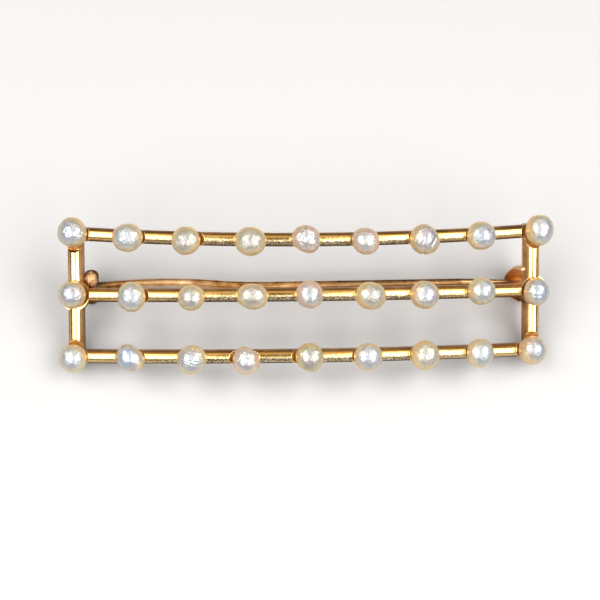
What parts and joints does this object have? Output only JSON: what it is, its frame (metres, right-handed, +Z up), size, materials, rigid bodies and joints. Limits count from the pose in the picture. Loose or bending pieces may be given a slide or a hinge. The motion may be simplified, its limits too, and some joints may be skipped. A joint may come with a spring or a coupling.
{
  "type": "bar brooch",
  "caption": "Bowed open bar brooch in gold, with rows of seed pearls between two end bars and a hinged pin and C-catch on its back; it lies as if set down on a table.",
  "frame": {"origin": "centre of the brooch's footprint, on the surface that it lies on", "axes": "+X along the pearl bars from the hinge towards the catch, +Y from the bar that lies low towards the one that stands high, +Z up from the surface"},
  "size_m": [0.045, 0.0138, 0.0105],
  "materials": {
    "gold": "polished yellow gold",
    "rose_gold": "worn rosy gold",
    "pearl": "lustrous nacre"
  },
  "bodies": {
    "brooch": {"frame": "gold", "hinge_rivet": "rose_gold", "pearl_upper_1": "pearl", "pearl_upper_2": "pearl", "pearl_upper_3": "pearl", "pearl_upper_4": "pearl", "pearl_upper_5": "pearl", "pearl_upper_6": "pearl", "pearl_upper_7": "pearl", "pearl_upper_8": "pearl", "pearl_upper_9": "pearl", "pearl_middle_1": "pearl", "pearl_middle_2": "pearl", "pearl_middle_3": "pearl", "pearl_middle_4": "pearl", "pearl_middle_5": "pearl", "pearl_middle_6": "pearl", "pearl_middle_7": "pearl", "pearl_middle_8": "pearl", "pearl_middle_9": "pearl", "pearl_lower_1": "pearl", "pearl_lower_2": "pearl", "pearl_lower_3": "pearl", "pearl_lower_4": "pearl", "pearl_lower_5": "pearl", "pearl_lower_6": "pearl", "pearl_lower_7": "pearl", "pearl_lower_8": "pearl", "pearl_lower_9": "pearl"},
    "pin": {"pin_stem": "rose_gold"}
  },
  "joints": [
    {"name": "pin_swing", "type": "hinge", "parent": "brooch", "child": "pin", "pos_m": [-0.01949, 0.003, 0.00114], "axis": [0, 0.8797, 0.4755], "range_deg": [0, 120]}
  ]
}
